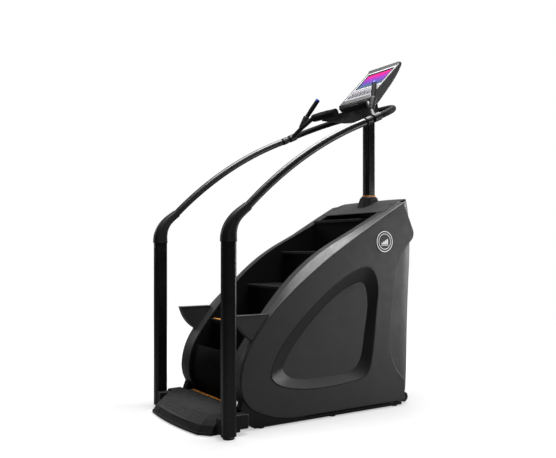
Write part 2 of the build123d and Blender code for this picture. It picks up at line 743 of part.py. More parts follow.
def rear_cover():
    """Bowed back shell behind the side covers, notched for the transport wheels."""
    shell = rear_body() - rear_body(WALL)
    shell = shell & block((-400, 400), (1140, 1400), (BASE_Z, 1262))
    beside = cover_solid((SEAM_X - 1, COVER_X + 1), 1.0)
    shell = shell - beside - flip(beside)
    shell = shell - deck_space()
    notch = block((278, 400), (1200, 1400), (0, 80))
    return shell - notch - flip(notch)


def deck_space():
    """Everything above the deck sheet's underside, for trimming what meets it."""
    return block((-400, 400), (1087, 1389), (1140, 1400)) - prism_x(deck_profile(-6), (-401, 401))


def top_cover():
    """Deck between the covers: a sheet with a turned-down front lip and a hole for the mast."""
    body = prism_x(deck_profile(), (-SEAM_X + 2, SEAM_X - 2))
    sheet = body - prism_x(deck_profile(-5), (-SEAM_X, SEAM_X))
    sheet = sheet & rear_body(0.5)
    mast_hole = extrude(mast_section(1100, 1.0), amount=300)
    return sheet - mast_hole - both_sides(cover_solid((WELL_X, SEAM_X), 1.0))


WING_TIP = (87.0, 594.0)
WING_FOOT = (190.0, 462.0)
WING_REAR = (292.0, 594.0)
WING_X = (316.0, 352.0)


def wing():
    """Fin that stands forward of the crest at step height."""
    under = ThreePointArc(WING_TIP, (122, 520), WING_FOOT)
    outline = Curve() + [Line(WING_REAR, WING_TIP), under, Line(WING_FOOT, WING_REAR)]
    blade = prism_x(make_face(outline), WING_X)
    blade = fillet(blade.edges().filter_by(Axis.X).sort_by(Axis.Y)[0], 4)
    return blade - outer_form() - cover_solid((300, SEAM_X), 0.4)


def wing_cap():
    """Flat pad on top of the fin."""
    top = WING_TIP[1]
    return block((WING_X[0] - 2, WING_X[1] + 2), (WING_TIP[0] - 3, WING_REAR[0] - 8), (top + 0.2, top + 8), 2)


# ---------------------------------------------------------------- steps and drive

def step_nose(number):
    return FIRST_NOSE[0] + RUN * number, FIRST_NOSE[1] + RISE * number


def tread(number):
    """Step board with a ribbed top and a rounded nose."""
    y, z = step_nose(number)
    board = block((-STEP_HALF_WIDTH, STEP_HALF_WIDTH), (y, y + RUN - 6), (z - TREAD_THICK, z - 2))
    board = fillet(board.edges().filter_by(Axis.X).sort_by(Axis.Y)[0:2], 6)
    ribs = [block((-STEP_HALF_WIDTH + 8, STEP_HALF_WIDTH - 8), (y + start, y + start + 8), (z - 3, z))
            for start in range(34, int(RUN) - 20, 16)]
    return board + ribs


def riser(number):
    """Sheet that closes the front of a step, down to the tread below."""
    y, z = step_nose(number)
    return block((-STEP_HALF_WIDTH, STEP_HALF_WIDTH), (y + 7, y + 7 + RISER_THICK),
                 (z - RISE, z - TREAD_THICK))


def tread_strip(number):
    """Coloured strip let into the front of the tread's top."""
    y, z = step_nose(number)
    return block((-STEP_HALF_WIDTH + 10, STEP_HALF_WIDTH - 10), (y + 12, y + 24), (z - 2, z - 0.5))


def step_carrier(number):
    """Plates and cross tube that tie a step to the two chains."""
    nose = FIRST_NOSE_POINT + UP * PITCH * number
    pin = nose + UP * 120 + DOWN * CHAIN_DROP
    tube = rod_x((pin.Y, pin.Z), 11, (-CHAIN_X[0] + 1, CHAIN_X[0] - 1))
    y, z = step_nose(number)
    web = Polyline((y + 90, z - TREAD_THICK), (y + 235, z - TREAD_THICK), (pin.Y + 12, pin.Z),
                   (pin.Y - 12, pin.Z), close=True)
    return tube + [prism_x(make_face(web), (x - 3, x + 3)) for x in (-205, 205)]


def return_step(number):
    """A step folded flat on the chains' return run."""
    start = LOWER_SHAFT + DOWN * (SPROCKET_RADIUS + 14) + UP * (70 + PITCH * number)
    plane = Plane(origin=start, x_dir=(1, 0, 0), z_dir=DOWN)
    return plane * (Pos(0, -150, 11) * Box(2 * STEP_HALF_WIDTH, 286, 22))


def sprocket_shaft(centre):
    """Shaft with a sprocket at each end, running in four bearings."""
    point = (centre.Y, centre.Z)
    shaft = rod_x(point, SHAFT_RADIUS, (-326, 326))
    wheel = rod_x(point, SPROCKET_RADIUS - CHAIN_THICK / 2 - 0.6, (CHAIN_X[0] + 1, CHAIN_X[1] - 1))
    hub = rod_x(point, 26, (CHAIN_X[0] - 12, CHAIN_X[1] + 2))
    return shaft + both_sides(wheel) + both_sides(hub)


def shaft_bearings():
    """Bearing blocks on top of the uprights, one at each end of both shafts."""
    blocks = []
    for centre in (LOWER_SHAFT, UPPER_SHAFT):
        housing = block((279, 295), (centre.Y - 44, centre.Y + 44),
                        (centre.Z - BEARING_DROP, centre.Z + 30), 2)
        bore = rod_x((centre.Y, centre.Z), SHAFT_RADIUS + RUNNING_GAP, (270, 300))
        blocks += both_sides(housing - bore)
    return blocks


def loop_ring(centres, radii, thick, x):
    """An endless band round two wheels of given radii."""
    def hull(extra):
        """Outline that wraps both wheels."""
        discs = [Pos(c.Y, c.Z) * Circle(r + extra) for c, r in zip(centres, radii)]
        span = centres[1] - centres[0]
        direction = span.normalized()
        side = Vector(0, -direction.Z, direction.Y)
        lean = (radii[0] - radii[1]) / span.length
        straight = (1 - lean ** 2) ** 0.5
        corners = []
        for sign in (1, -1):
            normal = side * (sign * straight) + direction * lean
            ends = [c + normal * (r + extra) for c, r in zip(centres, radii)]
            corners += ends if sign == 1 else ends[::-1]
        return make_face(Polyline([(p.Y, p.Z) for p in corners], close=True)) + discs
    return prism_x(hull(thick) - hull(0), x)


def step_chains():
    """Two endless roller chains, drawn as plain bands."""
    radius = SPROCKET_RADIUS - CHAIN_THICK / 2
    band = loop_ring((LOWER_SHAFT, UPPER_SHAFT), (radius, radius), CHAIN_THICK, CHAIN_X)
    return both_sides(band)


def driven_pulley():
    """Large pulley on the upper shaft."""
    point = (UPPER_SHAFT.Y, UPPER_SHAFT.Z)
    disc = rod_x(point, DRIVEN_PULLEY_RADIUS, PULLEY_X)
    dish = rod_x(point, 62, (PULLEY_X[0] - 1, PULLEY_X[0] + 8)) - rod_x(point, 30, (300, 330))
    return disc - dish - rod_x(point, SHAFT_RADIUS, (300, 330))


def motor_pulley():
    return rod_x(MOTOR, MOTOR_PULLEY_RADIUS, PULLEY_X) + rod_x(MOTOR, MOTOR_SHAFT_RADIUS, (262, PULLEY_X[0]))


def drive_belt():
    motor = Vector(0, *MOTOR)
    radii = (MOTOR_PULLEY_RADIUS + CLEAR, DRIVEN_PULLEY_RADIUS + CLEAR)
    return loop_ring((motor, UPPER_SHAFT), radii, BELT_THICK, (PULLEY_X[0] + 2, PULLEY_X[1] - 2))


def drive_motor():
    """Motor body on a foot that stands on the rear cross member's level."""
    body = rod_x(MOTOR, MOTOR_RADIUS, (60, 256))
    body = chamfer(body.edges().filter_by(GeomType.CIRCLE), 6)
    foot = block((80, 236), (MOTOR[0] - 55, MOTOR[0] + 55), (70, 135))
    plate = block((60, 256), (MOTOR[0] - 70, MOTOR[0] + 70), (60, 70))
    return body + foot + plate - rod_x(MOTOR, MOTOR_SHAFT_RADIUS + RUNNING_GAP, (200, 260))


def control_box():
    """Drive electronics in a closed box beside the motor."""
    return block((-240, -70), (980, 1130), (70, 150), 6)


def main():
    """Build every node and write it."""
    save("base_frame", *base_frame(), *wheel_forks())
    save("levelling_feet", *levelling_feet(), *platform_feet())
    save_pair("transport_wheel", transport_wheel())
    save("platform_shell", platform_shell())
    save("platform_front_panel", platform_front_panel())
    save("platform_mat", platform_mat())
    save("platform_strip", platform_strip())
    save("kick_plate", kick_plate())
    save("posts", *both_sides(post()))
    save("post_pads", *post_pads())
    save("post_brackets", *post_brackets())
    save("knuckles", *both_sides(knuckle()))
    save("knuckle_screws", *knuckle_screws())
    save("handrails", *both_sides(handrail()))
    save("front_bar", front_bar())
    save("bar_collars", *bar_sleeves(), bar_clamp())
    save("branches", *both_sides(branch()))
    save("grips", *both_sides(grip()))
    save("sensor_plates", *sensor_plates())
    save("sticks", *both_sides(stick()))
    save("stick_caps", *both_sides(stick_cap()))
    save_pair("thumb_button", thumb_button())
    save("accessory_tray", tray())
    save("mast", mast())
    save("mast_boot", mast_boot())
    save("mast_ring", mast_ring())
    save("console_yoke", console_yoke(), tilt_pin())
    save("console_housing", console_housing(), *console_lugs())
    save("console_bezel", console_bezel())
    save("console_screen", console_screen())
    save("keypad_panel", keypad_panel())
    for name, x in KEY_X.items():
        save(name, console_key(x))
    save_pair("outer_cover", outer_cover())
    save("inner_covers", *both_sides(inner_cover()))
    save("recess_bezels", *both_sides(recess_bezel()))
    save("recess_panels", *both_sides(recess_panel()))
    save("badges", *both_sides(badge()))
    save("top_cover", top_cover())
    save("rear_cover", rear_cover())
    save("step_wings", *both_sides(wing()))
    save("wing_caps", *both_sides(wing_cap()))
    numbers = range(STEPS_SHOWN)
    save("treads", *[tread(number) for number in numbers])
    save("risers", *[riser(number) for number in numbers])
    save("tread_strips", *[tread_strip(number) for number in numbers])
    save("step_carriers", *[step_carrier(number) for number in numbers])
    save("return_steps", *[return_step(number) for number in range(3)])
    save("lower_shaft", sprocket_shaft(LOWER_SHAFT))
    save("upper_shaft", sprocket_shaft(UPPER_SHAFT), driven_pulley())
    save("motor_pulley", motor_pulley())
    save("shaft_bearings", *shaft_bearings())
    save("step_chains", *step_chains())
    save("drive_belt", drive_belt())
    save("drive_motor", drive_motor())
    save("control_box", control_box())


main()
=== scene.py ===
from math import cos, pi, radians, sin

import bmesh
import bpy
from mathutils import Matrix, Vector


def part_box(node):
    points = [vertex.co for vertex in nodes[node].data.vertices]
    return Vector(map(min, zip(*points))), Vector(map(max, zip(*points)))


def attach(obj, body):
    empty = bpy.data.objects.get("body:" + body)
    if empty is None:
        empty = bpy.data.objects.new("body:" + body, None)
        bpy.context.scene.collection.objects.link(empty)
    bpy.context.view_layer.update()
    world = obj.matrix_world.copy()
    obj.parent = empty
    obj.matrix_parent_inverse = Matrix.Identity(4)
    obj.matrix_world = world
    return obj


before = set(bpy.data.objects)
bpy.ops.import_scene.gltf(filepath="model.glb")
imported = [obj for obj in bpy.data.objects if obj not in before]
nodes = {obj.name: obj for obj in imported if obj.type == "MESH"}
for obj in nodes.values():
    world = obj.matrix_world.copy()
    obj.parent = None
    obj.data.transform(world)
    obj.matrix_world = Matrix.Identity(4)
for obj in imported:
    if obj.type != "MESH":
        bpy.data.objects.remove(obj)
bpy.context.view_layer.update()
scene = bpy.context.scene

# ---------------------------------------------------------------- shader helpers

# scales of noise, in features per metre
MOTTLE_SCALE = 9.0
SMUDGE_SCALE = 22.0
WAVE_SCALE = 60.0
# the part of a noise's 0 to 1 range that most of its values lie in
NOISE_LOW, NOISE_HIGH = 0.3, 0.7
# radius in metres of the edges that get a painted highlight and wear
EDGE_HIGHLIGHT_AND_WEAR_RADIUS = 0.0022


def tinted(colour, gain, lift=0.0):
    """Colour multiplied by a factor, then lifted by a constant."""
    return tuple(channel * gain + lift for channel in colour)


class Finish:
    """A material under construction: a Principled shader and short calls that add and join nodes."""

    def __init__(self, name, roughness, **sockets):
        self.material = bpy.data.materials.new(name)
        self.material.use_nodes = True
        self.nodes = self.material.node_tree.nodes
        self.links = self.material.node_tree.links
        self.shader = self.nodes["Principled BSDF"]
        self.set("Roughness", roughness)
        for socket, value in sockets.items():
            self.set(socket.replace("_", " "), value)
        self.place = self.nodes.new("ShaderNodeTexCoord").outputs["Object"]

    def feed(self, socket, value):
        """Link an output to a socket, or set the socket's own value."""
        if isinstance(value, bpy.types.NodeSocket):
            self.links.new(value, socket)
        else:
            socket.default_value = value

    def set(self, name, value):
        """Feed one input of the shader."""
        self.feed(self.shader.inputs[name], value)

    def node(self, kind, output, settings=None, **inputs):
        """Add a node, feed its inputs by name or as n0, n1 and so on by number, and return one output."""
        made = self.nodes.new(kind)
        for key, value in (settings or {}).items():
            setattr(made, key, value)
        for key, value in inputs.items():
            numbered = key[0] == "n" and key[1:].isdigit()
            index = int(key[1:]) if numbered else key.replace("_", " ")
            self.feed(made.inputs[index], value)
        return made.outputs[output]

    def coordinate(self, axis):
        """One object coordinate, X, Y or Z, in metres."""
        return self.node("ShaderNodeSeparateXYZ", axis, Vector=self.place)

    def stretched(self, scale):
        """Object coordinates, scaled per axis."""
        return self.node("ShaderNodeMapping", "Vector", Vector=self.place, Scale=scale)

    def noise(self, scale, detail=3.0, vector=None, rough=0.55):
        return self.node("ShaderNodeTexNoise", "Fac", Vector=vector or self.place, Scale=scale,
                         Detail=detail, Roughness=rough)

    def cells(self, scale):
        return self.node("ShaderNodeTexVoronoi", "Distance", Vector=self.place, Scale=scale)

    def ramp(self, factor, *stops):
        """Colour ramp from (position, colour) stops."""
        made = self.nodes.new("ShaderNodeValToRGB")
        elements = made.color_ramp.elements
        while len(elements) < len(stops):
            elements.new(0.5)
        for element, (position, colour) in zip(elements, stops):
            element.position = position
            element.color = (*colour, 1)
        self.links.new(factor, made.inputs["Fac"])
        return made.outputs["Color"]

    def math(self, operation, a, b=0.0):
        return self.node("ShaderNodeMath", "Value", {"operation": operation}, n0=a, n1=b)

    def blend(self, factor, a, b):
        """Colour a where the factor is 0 and b where it is 1."""
        made = self.nodes.new("ShaderNodeMix")
        made.data_type = "RGBA"
        for index, value in ((0, factor), (6, a), (7, b)):
            self.feed(made.inputs[index], (*value, 1) if isinstance(value, tuple) else value)
        return made.outputs[2]

    def range(self, value, low, high, to_low, to_high):
        return self.node("ShaderNodeMapRange", "Result", Value=value, From_Min=low, From_Max=high,
                         To_Min=to_low, To_Max=to_high)

    def bump(self, *layers):
        """Stack of (height, depth in metres) layers on the shader's normal."""
        normal = None
        for height, depth in layers:
            made = self.nodes.new("ShaderNodeBump")
            made.inputs["Distance"].default_value = depth
            made.inputs["Strength"].default_value = 1.0
            self.links.new(height, made.inputs["Height"])
            if normal:
                self.links.new(normal, made.inputs["Normal"])
            normal = made.outputs["Normal"]
        self.set("Normal", normal)

    def edges(self, radius):
        """1 on sharp edges and corners, 0 on flat faces."""
        rounded = self.node("ShaderNodeBevel", "Normal", {"samples": 4}, Radius=radius)
        flat = self.node("ShaderNodeNewGeometry", "Normal")
        aligned = self.node("ShaderNodeVectorMath", "Value", {"operation": "DOT_PRODUCT"},
                            n0=rounded, n1=flat)
        return self.range(aligned, 0.995, 0.85, 0.0, 1.0)

    def tones(self, noise, dark, light):
        """Colour between two tones, after a noise."""
        return self.ramp(noise, (NOISE_LOW, dark), (NOISE_HIGH, light))

    def levels(self, noise, low, high):
        """Value between two limits, after a noise."""
        return self.range(noise, NOISE_LOW, NOISE_HIGH, low, high)

    def mottled(self, dark, light):
        """Colour that drifts slowly between two tones."""
        return self.tones(self.noise(MOTTLE_SCALE, 5.0), dark, light)

    def smudged(self, low, high):
        """Roughness between two values, as if the surface had been handled."""
        return self.levels(self.noise(SMUDGE_SCALE, 6.0, rough=0.7), low, high)

    def waves(self):
        """Slow height changes of a moulded face."""
        return self.noise(WAVE_SCALE, 2.0)


def moulded(name, colour, roughness, grain=1400.0, depth=0.00006, spread=0.25, wave=1.5, edge_highlight_and_wear=0.35,
            **sockets):
    """Moulded plastic, rubber or powder coat: mottled colour, pebbled surface, smudges, and sharp edges
    lightened as a painted highlight and wear.
    """
    f = Finish(name, roughness, **sockets)
    base = f.mottled(tinted(colour, 1 - spread), tinted(colour, 1 + spread))
    fleck = f.noise(grain * 0.6, 2.0)
    specked = f.blend(f.range(fleck, 0.55, 0.75, 0.0, 0.35), base, tinted(colour, 1.9, 0.004))
    # painted highlight: sharp edges get a lighter colour, standing for light caught on rounded edges as well
    # as for wear
    edges_highlit_and_worn = f.blend(f.math("MULTIPLY", f.edges(EDGE_HIGHLIGHT_AND_WEAR_RADIUS), edge_highlight_and_wear), specked, tinted(colour, 2.2, 0.01))
    f.set("Base Color", edges_highlit_and_worn)
    f.set("Roughness", f.smudged(roughness - 0.05, roughness + 0.07))
    f.bump((f.waves(), depth * wave), (f.cells(grain), depth))
    return f.material


def brushed(name, colour, roughness, along):
    """Brushed metal: fine scratches stretched along one axis, faint stains."""
    f = Finish(name, roughness, Metallic=1.0)
    scale = [900.0, 900.0, 900.0]
    scale[along] = 12.0
    lines = f.noise(1.0, 4.0, vector=f.stretched(tuple(scale)))
    stain = f.noise(4.0, 3.0)
    base = f.tones(stain, tinted(colour, 0.92), colour)
    f.set("Base Color", f.blend(f.levels(lines, 0.0, 0.25), base, tinted(colour, 0.6)))
    f.set("Roughness", f.levels(lines, roughness - 0.07, roughness + 0.1))
    f.bump((lines, 0.000006))
    return f.material


def dotted_rubber(name, colour, spacing, roughness, **sockets):
    """Anti-slip rubber: a square lattice of low studs over a dusty, fine-grained sheet."""
    f = Finish(name, roughness, **sockets)
    patches = f.cells(1 / spacing)
    lattice = f.node("ShaderNodeTexVoronoi", "Distance", Vector=f.place, Scale=1 / spacing, Randomness=0.0)
    studs = f.range(lattice, 0.18, 0.30, 1.0, 0.0)
    dust = f.noise(30.0, 6.0, rough=0.7)
    base = f.ramp(dust, (0.35, colour), (0.75, tinted(colour, 1.8, 0.008)))
    f.set("Base Color", f.blend(studs, base, tinted(colour, 1.35)))
    f.set("Roughness", f.range(patches, 0.0, 1.0, roughness - 0.06, roughness + 0.08))
    f.bump((studs, 0.0008), (f.noise(1500.0, 2.0), 0.00008))
    return f.material


def gloss(name, colour, roughness, glow=0.0):
    """Polished plastic with faint swirl scratches and dust, and an optional glow of its own colour, which on
    the badge is painted light.
    """
    f = Finish(name, roughness, Coat_Weight=0.3, Coat_Roughness=0.08)
    swirl = f.noise(160.0, 6.0, rough=0.8)
    dust = f.noise(700.0, 2.0)
    f.set("Base Color", f.blend(f.range(dust, 0.62, 0.8, 0.0, 0.3), colour, tinted(colour, 1.0, 0.03)))
    # glow makes the part give off light though it is no lamp: on the white badge this is painted light
    f.set("Emission Color", (*colour, 1))
    f.set("Emission Strength", glow)
    f.set("Roughness", f.levels(swirl, roughness - 0.04, roughness + 0.08))
    f.bump((f.noise(35.0, 2.0), 0.00012), (swirl, 0.00001))
    return f.material


def recess_finish():
    """Satin bezel of the recess: near black, with a painted highlight on the faces that point up, standing
    for light from above.
    """
    f = Finish("recess_satin", 0.36, Specular_IOR_Level=0.35)
    normal = f.node("ShaderNodeNewGeometry", "Normal")
    facing = f.node("ShaderNodeSeparateXYZ", "Z", Vector=normal)
    dark = f.mottled((0.004, 0.004, 0.0045), (0.006, 0.006, 0.0065))
    # painted highlight: the lighter tone goes on upward-facing faces, as if lit from the top
    light = f.mottled((0.085, 0.085, 0.088), (0.100, 0.100, 0.103))
    f.set("Base Color", f.blend(f.range(facing, 0.1, 0.6, 0.0, 1.0), dark, light))
    f.set("Roughness", f.smudged(0.30, 0.42))
    f.bump((f.waves(), 0.00005), (f.cells(1600.0), 0.00003))
    return f.material


SCREEN_DARK = (0.004, 0.004, 0.006)
SCREEN_SIDE_MARGIN = 0.014
SCREEN_END_MARGIN = 0.011
SCREEN_MARGIN_FADE = 0.002


def screen_glow():
    """Lit display: a wavering gradient from teal over violet to pink, inside a dark margin."""
    f = Finish("display", 0.12, Specular_IOR_Level=0.15, Coat_Weight=0.05, Coat_Roughness=0.04)
    low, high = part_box("console_screen")
    height = f.coordinate("Z")
    wobble = f.math("MULTIPLY", f.math("SUBTRACT", f.noise(16.0, 4.0), 0.5), 0.45)
    level = f.math("ADD", f.range(height, low.z, high.z, 0.0, 1.0), wobble)
    sky = f.ramp(level, (0.06, (0.10, 0.25, 0.30)), (0.22, (0.09, 0.16, 0.34)), (0.40, (0.20, 0.09, 0.55)),
                 (0.58, (0.42, 0.05, 0.62)), (0.72, (0.80, 0.02, 0.42)), (0.92, (0.92, 0.03, 0.25)))
    glow = f.blend(f.range(f.cells(38.0), 0.10, 0.22, 0.5, 0.0), sky, (0.95, 0.25, 0.45))
    side = high.x - SCREEN_SIDE_MARGIN
    top = high.z - SCREEN_END_MARGIN
    bottom = low.z + SCREEN_END_MARGIN
    fade = SCREEN_MARGIN_FADE
    inside_sides = f.range(f.math("ABSOLUTE", f.coordinate("X")), side - fade, side, 1.0, 0.0)
    inside_top = f.range(height, top - fade, top, 1.0, 0.0)
    inside_bottom = f.range(height, bottom, bottom + fade, 0.0, 1.0)
    lit = f.math("MULTIPLY", f.math("MULTIPLY", inside_sides, inside_top), inside_bottom)
    shown = f.blend(lit, SCREEN_DARK, glow)
    f.set("Base Color", f.blend(0.93, shown, SCREEN_DARK))
    f.set("Emission Color", shown)
    f.set("Emission Strength", 0.85)
    f.set("Roughness", f.levels(f.noise(90.0, 4.0), 0.08, 0.16))
    return f.material


def zoned_with_painted_shade(name, colours, roughness, boundary, grain, **sockets):
    """Moulded plastic whose colour changes at a distance from the machine's middle plane; on the inner
    covers the colour nearer the middle is painted shade on the walls of the steps' well.
    """
    f = Finish(name, roughness, **sockets)
    across = f.math("ABSOLUTE", f.coordinate("X"))
    zone = f.range(across, boundary - 0.0005, boundary + 0.0005, 0.0, 1.0)
    painted_shade_near, far = (f.mottled(tinted(colour, 0.85), tinted(colour, 1.15)) for colour in colours)
    f.set("Base Color", f.blend(zone, painted_shade_near, far))
    f.set("Roughness", f.smudged(roughness - 0.05, roughness + 0.07))
    f.bump((f.waves(), 0.0001), (f.cells(grain), 0.00006))
    return f.material


# height that holds the lowest step's edging only
LOWEST_EDGING = 0.05


def striped_strip():
    """Ribbed tread edging: orange on the lowest step, and black on the others as painted shade where their
    orange edging lies in the well's shade.
    """
    f = Finish("tread_edging", 0.45)
    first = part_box("tread_strips")[0].z + LOWEST_EDGING
    mottle = f.noise(40.0, 4.0)
    orange = f.tones(mottle, (0.72, 0.26, 0.03), (0.85, 0.33, 0.04))
    # painted shade: the edging of the upper steps is black instead of its orange
    painted_shade_black = f.tones(mottle, (0.004, 0.004, 0.004), (0.008, 0.008, 0.009))
    f.set("Base Color", f.blend(f.range(f.coordinate("Z"), first, first + 0.01, 0.0, 1.0), orange, painted_shade_black))
    f.set("Roughness", f.levels(mottle, 0.38, 0.52))
    ribs = f.node("ShaderNodeTexWave", "Fac", Vector=f.place, Scale=60.0)
    f.bump((ribs, 0.0002))
    return f.material


# ---------------------------------------------------------------- materials

COVER_GREY = (0.025, 0.0255, 0.026)
# near black: painted shade on the walls of the steps' well, and also the treads' own black rubber
WELL_SHADE_AND_TREAD_BLACK = (0.003, 0.003, 0.0035)
# half the width of the steps' well, with the walls beside it
WELL_WALL_OUTSIDE = 0.2545

materials = {
    "inner": moulded("inner_black", (0.0022, 0.0022, 0.0025), 0.66, grain=1500.0, Specular_IOR_Level=0.07),
    "powder_black": moulded("powder_black", (0.006, 0.006, 0.0065), 0.22, grain=1100.0, depth=0.000004,
                            wave=0.5, edge_highlight_and_wear=0.1, Specular_IOR_Level=0.3),
    "cover": moulded("cover_textured", COVER_GREY, 0.50, grain=1700.0, spread=0.12),
    "trim": moulded("trim_textured", (0.010, 0.010, 0.0105), 0.46, grain=1500.0, Specular_IOR_Level=0.22),
    # inner covers: black inside the well as painted shade, cover grey outside it
    "inner_cover": zoned_with_painted_shade("inner_cover", (WELL_SHADE_AND_TREAD_BLACK, COVER_GREY), 0.52, WELL_WALL_OUTSIDE, 1700.0,
                            Specular_IOR_Level=0.3),
    "recess_satin": recess_finish(),
    "recess_panel": moulded("recess_panel", (0.036, 0.0365, 0.037), 0.55, grain=2200.0, spread=0.08),
    "rail": moulded("rail_satin", (0.014, 0.014, 0.0145), 0.30, grain=1300.0, depth=0.000003, wave=0.5,
                    edge_highlight_and_wear=0.1, spread=0.08, Specular_IOR_Level=0.4),
    "sensor": brushed("sensor_metal", (0.07, 0.07, 0.073), 0.35, 0),
    "bar": moulded("bar_rubber", (0.009, 0.009, 0.0095), 0.60, grain=900.0, depth=0.00004, wave=0.4,
                   edge_highlight_and_wear=0.1, Specular_IOR_Level=0.04),
    "mat": dotted_rubber("deck_rubber", (0.011, 0.011, 0.012), 0.006, 0.55, Specular_IOR_Level=0.25),
    "tread": dotted_rubber("tread_rubber", WELL_SHADE_AND_TREAD_BLACK, 0.012, 0.60, Specular_IOR_Level=0.12),
    "strip": striped_strip(),
    "orange": moulded("accent_orange", (0.80, 0.30, 0.035), 0.42, grain=1400.0, spread=0.1),
    # the badge's glow is painted light that makes the white rings brighter
    "badge": gloss("badge_white", (0.90, 0.90, 0.90), 0.30, glow=0.3),
    "blue": moulded("cap_blue", (0.012, 0.035, 0.20), 0.45, grain=1500.0, Specular_IOR_Level=0.15),
    "silver": moulded("bezel_silver", (0.34, 0.34, 0.35), 0.38, grain=2400.0, spread=0.04, Metallic=0.2),
    "display": screen_glow(),
    "keypad": moulded("keypad_membrane", (0.13, 0.125, 0.14), 0.50, grain=2600.0, spread=0.06,
                      Specular_IOR_Level=0.2),
    "key": gloss("key_dark", (0.020, 0.020, 0.024), 0.35),
    "steel": brushed("steel", (0.50, 0.50, 0.51), 0.30, 0),
    "screw": brushed("screw_black", (0.06, 0.06, 0.06), 0.35, 1),
    "chain": brushed("chain_oiled", (0.035, 0.033, 0.030), 0.45, 1),
    "tyre": moulded("tyre_rubber", (0.012, 0.012, 0.012), 0.75, grain=900.0, depth=0.0001),
    "cast": moulded("cast_painted", (0.05, 0.05, 0.055), 0.55, grain=700.0, depth=0.0002),
    "alu": brushed("machined_aluminium", (0.60, 0.60, 0.61), 0.28, 0),
}

FINISHES = {
    "powder_black": "base_frame posts mast console_yoke control_box",
    "cover": "badges outer_cover_right outer_cover_left top_cover rear_cover step_wings console_housing",
    "inner": "risers kick_plate step_carriers",
    "inner_cover": "inner_covers",
    "trim": "platform_shell platform_front_panel post_brackets knuckles bar_collars branches "
            "accessory_tray mast_boot",
    "recess_satin": "recess_bezels",
    "recess_panel": "recess_panels",
    "rail": "handrails",
    "sensor": "sensor_plates",
    "bar": "front_bar grips sticks",
    "mat": "platform_mat",
    "tread": "treads return_steps",
    "orange": "platform_strip mast_ring",
    "strip": "tread_strips",
    "blue": "stick_caps thumb_button_right thumb_button_left",
    "silver": "console_bezel",
    "display": "console_screen",
    "keypad": "keypad_panel",
    "key": "slower_key faster_key start_key stop_key wing_caps",
    "steel": "lower_shaft upper_shaft",
    "chain": "step_chains",
    "screw": "knuckle_screws",
    "tyre": "levelling_feet transport_wheel_right transport_wheel_left post_pads drive_belt",
    "cast": "drive_motor shaft_bearings",
    "alu": "motor_pulley",
}
for finish, names in FINISHES.items():
    for name in names.split():
        nodes[name].data.materials.clear()
        nodes[name].data.materials.append(materials[finish])


# ---------------------------------------------------------------- mesh pieces

SOFT_EDGE = 0.0003
SHORTEST_ARM = 1e-6


def piece(name, mesh, finish, body):
    """Show a finished mesh as one piece that rides on a body."""
    shown = bpy.data.objects.new(name, mesh)
    scene.collection.objects.link(shown)
    mesh.materials.append(materials[finish])
    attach(shown, body)


def loop_rings(work, loop, place, levels, sign):
    """One ring of vertices per (height, shrink) level; sign is -1 for an outer loop and 1 for an inner."""
    middle = Vector((sum(p[0] for p in loop) / len(loop), sum(p[1] for p in loop) / len(loop)))
    rings = []
    for height, shrink in levels:
        ring = []
        for point in loop:
            arm = Vector(point) - middle
            moved = middle + arm * (1 + sign * shrink / max(arm.length, SHORTEST_ARM))
            ring.append(work.verts.new(place(moved.x, moved.y, height)))
        rings.append(ring)
    return rings


def bridge(work, first, second):
    """Band of faces between two rings with equally many vertices."""
    for i in range(len(first)):
        j = (i + 1) % len(first)
        work.faces.new((first[i], first[j], second[j], second[i]))


def outline_solid(work, loops, place, thick):
    """Flat solid inside an outer loop, less an optional inner one, with softened front edges.

    loops are lists of (u, v) points, and place turns (u, v, w) into a point, w being outwards."""
    levels = ((0.0, 0.0), (thick - SOFT_EDGE, 0.0), (thick, SOFT_EDGE))
    walls = [loop_rings(work, loop, place, levels, 1 if index else -1) for index, loop in enumerate(loops)]
    for rings in walls:
        for low_ring, high_ring in zip(rings, rings[1:]):
            bridge(work, low_ring, high_ring)
    outer = walls[0]
    if len(walls) == 1:
        work.faces.new(outer[-1])
        work.faces.new(outer[0][::-1])
    else:
        inner = walls[1]
        bridge(work, outer[-1], inner[-1])
        bridge(work, outer[0], inner[0])


def finished(work, name):
    """Mesh with outward faces from a filled bmesh."""
    bmesh.ops.recalc_face_normals(work, faces=work.faces)
    mesh = bpy.data.meshes.new(name)
    work.to_mesh(mesh)
    work.free()
    return mesh


def circle(radius, middle=(0, 0), count=72):
    """Circle as a loop of points."""
    return [(middle[0] + radius * cos(2 * pi * i / count), middle[1] + radius * sin(2 * pi * i / count))
            for i in range(count)]


def rounded_box(width, height, corner, middle=(0, 0), count=5):
    """Rounded rectangle as a loop of points."""
    points = []
    for quarter in range(4):
        sx = 1 if quarter in (0, 3) else -1
        sy = 1 if quarter in (0, 1) else -1
        for step in range(count + 1):
            angle = (quarter + step / count) * pi / 2
            points.append((middle[0] + sx * (width / 2 - corner) + corner * cos(angle),
                           middle[1] + sy * (height / 2 - corner) + corner * sin(angle)))
    return points


# emblem: two rings round a small flight of stairs on a base line
EMBLEM_RELIEF = 0.0008
EMBLEM_RINGS = ((0.0620, 0.0575), (0.0470, 0.0435))
EMBLEM_STEPS = 4
STEP_WIDTH, STEP_HEIGHT, STEP_GROWTH, STEP_CORNER = 0.0105, 0.010, 0.007, 0.0015
STEP_FIRST_ACROSS, STEP_PITCH = -0.0195, 0.013
STEP_FIRST_UP, STEP_RISE = -0.012, 0.0035
BASE_LINE = (0.056, 0.003, 0.0012, (0, -0.022))

badge_low, badge_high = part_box("badges")
badge_y = (badge_low.y + badge_high.y) / 2
badge_z = (badge_low.z + badge_high.z) / 2


